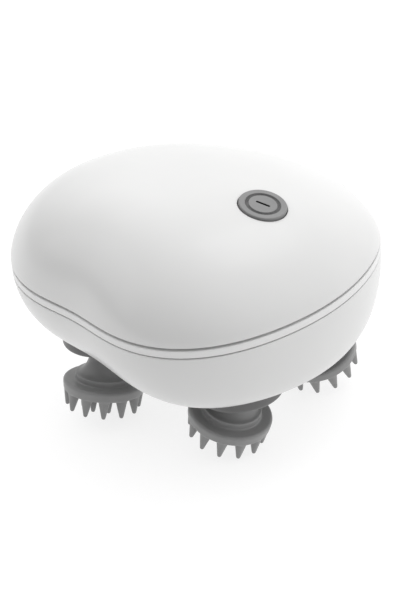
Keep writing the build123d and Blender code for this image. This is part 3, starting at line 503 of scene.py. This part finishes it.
# ============================================================= button's place
behind, button_height, ahead = dome_height(
    BUTTON_X + SLOPE_STEP * np.array((-1, 0, 1)), np.zeros(3)
).tolist()
fall = (behind - ahead) / (2 * SLOPE_STEP)
button_up = Vector((fall, 0, 1)).normalized()
button_side = Vector((1, 0, -fall)).normalized()
button_place = placement((BUTTON_X, 0, RIM + button_height), button_side, left, button_up)
button_flat, button_origin = np.array(button_place.to_3x3()), np.array(button_place.translation)


# ================================================================== top cover
def hole_ring(radius, bearings, skin):
    """Where a cylinder about the button's axis meets the dome: positions and heights along it."""
    rise = np.zeros_like(bearings)
    around = button_origin + circle(radius, bearings, 0) @ button_flat.T
    for _ in range(12):
        points = around + rise[:, None] * button_flat[:, 2]
        rise -= (points[:, 2] - RIM - dome_height(points[:, 0], points[:, 1], skin)) * button_up.z
    return around + rise[:, None] * button_flat[:, 2], rise


def dome_rings(skin, bearings, radius, steps):
    """Rings from the button's hole out to the rim, on the outer or the inner face."""
    start = hole_ring(radius, bearings, skin)[0]
    end_x, end_y = outline(ANGLES, skin + DOME_END_INSET)
    rings = []
    for k in range(steps + 1):
        share = 1 - (1 - k / steps) ** DOME_PACKING
        x = start[:, 0] + (end_x - start[:, 0]) * share
        y = start[:, 1] + (end_y - start[:, 1]) * share
        rings.append(level(x, y, dome_height(x, y, skin)))
    return rings


def hole_wall(bearings, radius):
    """Rounded edge of the button's hole, from its wall out to the dome."""
    rise = hole_ring(radius + HOLE_LIP, bearings, 0)[1]
    return [
        button_origin + circle(
            radius + HOLE_LIP * (1 - sin(turn)), bearings, rise - HOLE_LIP * (1 - cos(turn))
        ) @ button_flat.T
        for turn in np.linspace(pi / 2, pi / 12, 6)
    ]


outline_x, outline_y = outline(ANGLES)
hole_bearings = np.arctan2(outline_y, (outline_x - BUTTON_X) / button_side.x)
hole = BUTTON_RADIUS + BUTTON_GAP
cover = Mesh().rings(
    hole_wall(hole_bearings, hole)
    + dome_rings(0, hole_bearings, hole + HOLE_LIP, DOME_STEPS["outer"])
    + edge_rings(COVER_LOW, 1)[::-1]
    + [outline_ring(EDGE + GUARD, COVER_LOW), outline_ring(WALL, COVER_LOW)]
    + dome_rings(WALL, hole_bearings, hole, DOME_STEPS["inner"])[::-1],
    closed=True,
)
for x, y in PILLARS:
    edge_x, edge_y, _ = circle(PILLAR_RADIUS, ANGLES, 0).T
    top = dome_height(x + edge_x, y + edge_y).min() - 1.0
    cover.lathe([
        (0, PILOT_DEPTH), (PILOT_RADIUS, PILOT_DEPTH), (PILOT_RADIUS, 0),
        (PILLAR_RADIUS, 0), (PILLAR_RADIUS, top), (0, top),
    ], at(x, y), 32)
cover_mesh = cover.data("top_shell")
smooth(cover_mesh)
piece(cover_mesh, "body", "shell_white", "top_cover")

# ================================================================= waist band
collar_near, collar_far = BAND_COLLAR
collar_low, collar_high = BAND_COLLAR_HEIGHTS
band_profile = rounded([
    (0, SLIT_HALF, 0.3), (0, BAND_TOP, 0.3), (BAND_LEDGE, BAND_TOP, 0), (BAND_LEDGE, COVER_LOW, 0),
    (collar_near, COVER_LOW, 0), (collar_near, collar_high, 0.3), (collar_far, collar_high, 0.3),
    (collar_far, collar_low, 0.3), (collar_near, collar_low, 0.3), (collar_near, 0, 0),
    (SLIT_DEPTH, 0, 0), (SLIT_DEPTH, SLIT_HALF, 0),
], segments=5, closed=True)
band_rings = [outline_ring(inset, z) for inset, z in band_profile]
band_mesh = Mesh().rings(band_rings, closed=True).data("waist_band")
smooth(band_mesh)
piece(band_mesh, "body", "band_white", "mid_band")

# =============================================================== lower casing
shafts = {
    name: (SUN_X + HEAD_REACH * cos(radians(head.bearing)), HEAD_REACH * sin(radians(head.bearing)))
    for name, head in HEADS.items()
}
outside = casing_face(0)
casing = Mesh().rings(
    [outline_ring(WALL, 0), outline_ring(SLIT_DEPTH, 0), outline_ring(SLIT_DEPTH, -SLIT_HALF),
     outline_ring(EDGE + GUARD, -SLIT_HALF)]
    + edge_rings(-SLIT_HALF, -1) + outside,
    cap_end=True,
)
casing.rings([outline_ring(WALL, 0)] + casing_face(WALL), cap_end=True)
casing_mesh = edited(
    casing.data("bottom_shell"),
    lambda edit: bmesh.ops.remove_doubles(edit, verts=edit.verts, dist=1e-7),
    lambda edit: bmesh.ops.recalc_face_normals(edit, faces=edit.faces),
)

port_out = Vector((-cos(radians(PORT_TILT)), 0, -sin(radians(PORT_TILT))))
port_place = placement((PORT_X, 0, RIM + PORT_HEIGHT), left, port_out.cross(left), port_out)
socket_place = placement((SOCKET_X, 0, RIM + PORT_HEIGHT), left, overhead, left.cross(overhead))
casing_mesh = cut(
    casing_mesh,
    *[cylinder(at(x, y), SPIGOT_RADIUS, CUT_FOOT, SPIGOT_CUT_TOP) for x, y in shafts.values()],
    *[cylinder(at(x, y), SCREW_HEAD_RADIUS, CUT_FOOT, SCREW_CUT_TOP, 40) for x, y in PILLARS],
    rounded_box(port_place, *PORT_POCKET, *PORT_CUT),
    rounded_box(socket_place, *SOCKET_MOUTH, *SOCKET_CUT),
)
pillars = Mesh()
for x, y in PILLARS:
    foot = floor_height(x)
    pillars.lathe([
        (SCREW_HEAD_RADIUS, foot), (SCREW_HEAD_RADIUS, SCREW_SEAT), (SCREW_RADIUS, SCREW_SEAT),
        (SCREW_RADIUS, 0), (PILLAR_RADIUS, 0), (PILLAR_RADIUS, foot + 1.0),
    ], at(x, y), 40)
edited(casing_mesh, lambda edit: edit.from_mesh(pillars.data("pillars")))
smooth(casing_mesh, 35)
piece(casing_mesh, "body", "shell_white", "lower_casing")

# ==================================================================== collars
bowl = Mesh().rings(outside, cap_end=True)
bowl_tree = BVHTree.FromPolygons(bowl.points, bowl.faces)
for name, (x, y) in shafts.items():
    foot = HEADS[name].collar_foot
    spigot_top = floor_height(x, WALL) + 0.8
    mouth_radius, mouth_depth = COLLAR_MOUTH
    profile = rounded([
        (SPIGOT_RADIUS, spigot_top, 0.2), (COLLAR_BORE, spigot_top, 0.2),
        (COLLAR_BORE, foot + mouth_depth, 0), (mouth_radius, foot + mouth_depth, 0),
        (mouth_radius, foot, 0.4), (COLLAR_RADIUS, foot, 1.3),
        (COLLAR_RADIUS, floor_height(x) + 3, 0), (SPIGOT_RADIUS, floor_height(x) + COLLAR_BITE, 0),
    ], segments=7, closed=True)
    collar = Mesh().lathe(profile, at(x, y), 128)
    for index, (px, py, pz) in enumerate(collar.points):
        hit = bowl_tree.ray_cast(Vector((px, py, 0)), overhead)[0]
        if hit is not None and hypot(px - x, py - y) > SPIGOT_RADIUS + 0.2:
            collar.points[index] = (px, py, min(pz, hit.z + COLLAR_BITE))
    collar_mesh = collar.data("collar_" + name)
    smooth(collar_mesh)
    piece(collar_mesh, "body", "collar_grey", "head_collar_" + name)


# ============================================================= silicone heads
def head_profile():
    """Neck, trumpet flare, stepped flange and disc, from the bore's end to the disc's foot."""
    neck = [
        (0, BORE_END), (BORE_RADIUS, BORE_END), (BORE_RADIUS, NECK_TOP - 0.1),
        (NECK_RADIUS - 0.2, NECK_TOP), (NECK_RADIUS, NECK_TOP - 0.2),
    ]
    flare = []
    for k in range(FLARE_STEPS + 1):
        angle = radians(90) * k / FLARE_STEPS
        flare.append((
            NECK_RADIUS + (STEP_RADIUS - 0.25 - NECK_RADIUS) * (1 - cos(angle)) ** 0.9,
            FLARE_TOP + (STEP_TOP - FLARE_TOP) * sin(angle),
        ))
    disc = rounded([
        (STEP_RADIUS - 1.5, STEP_TOP, 0), (STEP_RADIUS, STEP_TOP - 0.05, 0.25),
        (STEP_RADIUS, DISC_TOP, 0.2), (DISC_RADIUS, DISC_TOP, 0.85),
        (DISC_RADIUS - 0.3, DISC_FOOT, 0.45), (0, DISC_FOOT, 0),
    ])
    return neck + flare + [tuple(p) for p in disc[1:]]


def add_finger(solid, bearing, root_ring, tip_ring, root_radius):
    """One rounded cone from inside the disc to its tip."""
    start = Vector((root_ring * cos(bearing), root_ring * sin(bearing), DISC_FOOT + 0.5))
    end = Vector((tip_ring * cos(bearing), tip_ring * sin(bearing), FINGER_END))
    length = (end - start).length
    place = Matrix.Translation(start) @ (end - start).to_track_quat("Z", "Y").to_matrix().to_4x4()
    profile = [(0, 0), (root_radius, 0)]
    for share in np.linspace(1 / 8, 1, 8):
        radius = root_radius + (TIP_RADIUS - root_radius) * share ** 1.05
        profile.append((radius, share * (length - TIP_RADIUS)))
    for k in range(1, 6):
        turn = k * pi / 12
        profile.append((TIP_RADIUS * cos(turn), length - TIP_RADIUS + TIP_RADIUS * sin(turn)))
    solid.lathe(profile + [(0, length)], place, 40)


def head_mesh():
    """Silicone head in its own frame: Z along the stub, one finger on +X."""
    solid = Mesh().lathe(head_profile(), Matrix.Identity(4), 160)
    for count, root_ring, tip_ring, root_radius in FINGERS:
        for index in range(count):
            add_finger(solid, 2 * pi * index / count, root_ring, tip_ring, root_radius)
    return apply_modifiers(
        solid.data("head"),
        ("REMESH", {"mode": "VOXEL", "voxel_size": VOXEL * MM, "use_smooth_shade": True}),
        ("SMOOTH", {"factor": 0.5, "iterations": 3}),
    )


head_pattern = head_mesh()
for name, (x, y) in shafts.items():
    lean, tilt = radians(HEADS[name].lean), radians(HEADS[name].tilt)
    stub_up = Vector((sin(tilt) * cos(lean), sin(tilt) * sin(lean), cos(tilt)))
    stub_side = Vector((stub_up.z, 0, -stub_up.x)).normalized()
    stub = placement(
        Vector((x, y, RIM - PIVOT_DROP)) * MM, stub_side, stub_up.cross(stub_side), stub_up
    )
    mesh = head_pattern.copy()
    mesh.name = "silicone_head_" + name
    mesh.transform(stub @ Matrix.Rotation(radians(HEADS[name].finger_turn), 4, "Z"))
    mesh.shade_smooth()
    piece(mesh, "head_" + name, "head_silicone", "massage_head_" + name)

# =============================================================== power button
flange = BUTTON_RADIUS + FLANGE_REACH
cap = Mesh().lathe(rounded([
    (0, BUTTON_PROUD, 0), (RING[0], BUTTON_PROUD, 0.12), (RING[0] + RING_SLOPE, GROOVE_FLOOR, 0.08),
    (RING[1] - RING_SLOPE, GROOVE_FLOOR, 0.08), (RING[1], BUTTON_PROUD, 0.12),
    (BUTTON_RADIUS, BUTTON_PROUD, 0.35), (BUTTON_RADIUS, FLANGE_TOP, 0),
    (flange, FLANGE_TOP, 0.1), (flange, FLANGE_FOOT, 0.1), (0, FLANGE_FOOT, 0),
], segments=5), button_place, 160)
mark_place = button_place @ Matrix.Rotation(radians(MARK_TURN), 4, "Z")
length, width = MARK
cap_mesh = cut(
    cap.data("power_button"),
    rounded_box(mark_place, length, width, width / 2 - 0.005, GROOVE_FLOOR, BUTTON_PROUD + 1),
)
smooth(cap_mesh)
piece(cap_mesh, "button", "button_silicone", "button_cap")

inlay_low, ring_top = GROOVE_FLOOR - INLAY_ROOT, GROOVE_FLOOR + 0.03
ring_near, ring_far = RING[0] + RING_SLOPE + 0.02, RING[1] - RING_SLOPE - 0.02
inlays = {
    ("button_mark", "mark_black"): rounded_box(
        mark_place, length - 0.02, width - 0.02, width / 2 - 0.02, inlay_low, BUTTON_PROUD - 0.04
    ),
    ("button_ring", "ring_grey"): Mesh().lathe([
        (ring_near, inlay_low), (ring_far, inlay_low), (ring_far, ring_top), (ring_near, ring_top),
    ], button_place, 160),
}
for (name, shade), inlay in inlays.items():
    inlay_mesh = inlay.data(name)
    inlay_mesh.materials.append(materials[shade])
    smooth(inlay_mesh)
    mark = linked(name, inlay_mesh)
    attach(mark, "button")

# ==================================================== floor, light and camera
floor = Mesh()
floor.points = [
    (FLOOR_SIZE * x, FLOOR_SIZE * y, FLOOR_HEIGHT) for x, y in ((-1, -1), (1, -1), (1, 1), (-1, 1))
]
floor.faces = [(0, 1, 2, 3)]
floor_mesh = floor.data("studio_floor")
floor_mesh.materials.append(materials["floor_pale"])
floor_object = linked("studio_floor", floor_mesh)

scene.view_settings.view_transform = "Standard"
back = Vector((sin(AZIMUTH) * cos(ELEVATION), -cos(AZIMUTH) * cos(ELEVATION), sin(ELEVATION)))
level_right = Vector((cos(AZIMUTH), sin(AZIMUTH), 0))
level_up = back.cross(level_right)
right = level_right * cos(ROLL) + level_up * sin(ROLL)
up = level_up * cos(ROLL) - level_right * sin(ROLL)

# the room is brightest overhead and behind the body, and darkest in front of it, to the left
world = bpy.data.worlds.new("studio")
world.use_nodes = True
nodes, links = world.node_tree.nodes, world.node_tree.links
brightest = (
    SKY_LEAN["over"] * overhead + SKY_LEAN["right"] * level_right + SKY_LEAN["back"] * back
).normalized()
direction = nodes.new("ShaderNodeTexCoord")
toward_bright = nodes.new("ShaderNodeVectorMath")
toward_bright.operation = "DOT_PRODUCT"
toward_bright.inputs[1].default_value = brightest
links.new(direction.outputs["Generated"], toward_bright.inputs[0])
strength = map_range(
    world.node_tree, toward_bright.outputs["Value"], (SKY_DARK, 1), 0, SKY_STRENGTH
)
links.new(strength, nodes["Background"].inputs["Strength"])
nodes["Background"].inputs["Color"].default_value = (1, 1, 1, 1)
scene.world = world


def softbox(name, across, over, distance, size, power):
    """Square area light aimed at the body: across to the camera's right, over above its line.

    Distance and size are metres, and power is watts.
    """
    toward = (back * cos(radians(over)) + overhead * sin(radians(over))).normalized()
    toward = Matrix.Rotation(radians(across), 3, "Z") @ toward
    light = bpy.data.lights.new(name, "AREA")
    light.size = size
    light.energy = power
    lamp = linked(name, light)
    lamp.location = Vector((0, 0, RIM * MM)) + toward * distance
    lamp.rotation_mode = "QUATERNION"
    lamp.rotation_quaternion = toward.to_track_quat("Z", "Y")


softbox("key_light", 120, 50, 1.4, 0.8, 2.0)
softbox("left_light", -95, 8, 1.3, 1.0, 2.0)

camera_data = bpy.data.cameras.new("camera")
camera_data.lens = LENS
camera_data.sensor_width = SENSOR
camera = linked("camera", camera_data)
camera.matrix_world = placement(TARGET + back * DISTANCE, right, up, back)
scene.camera = camera
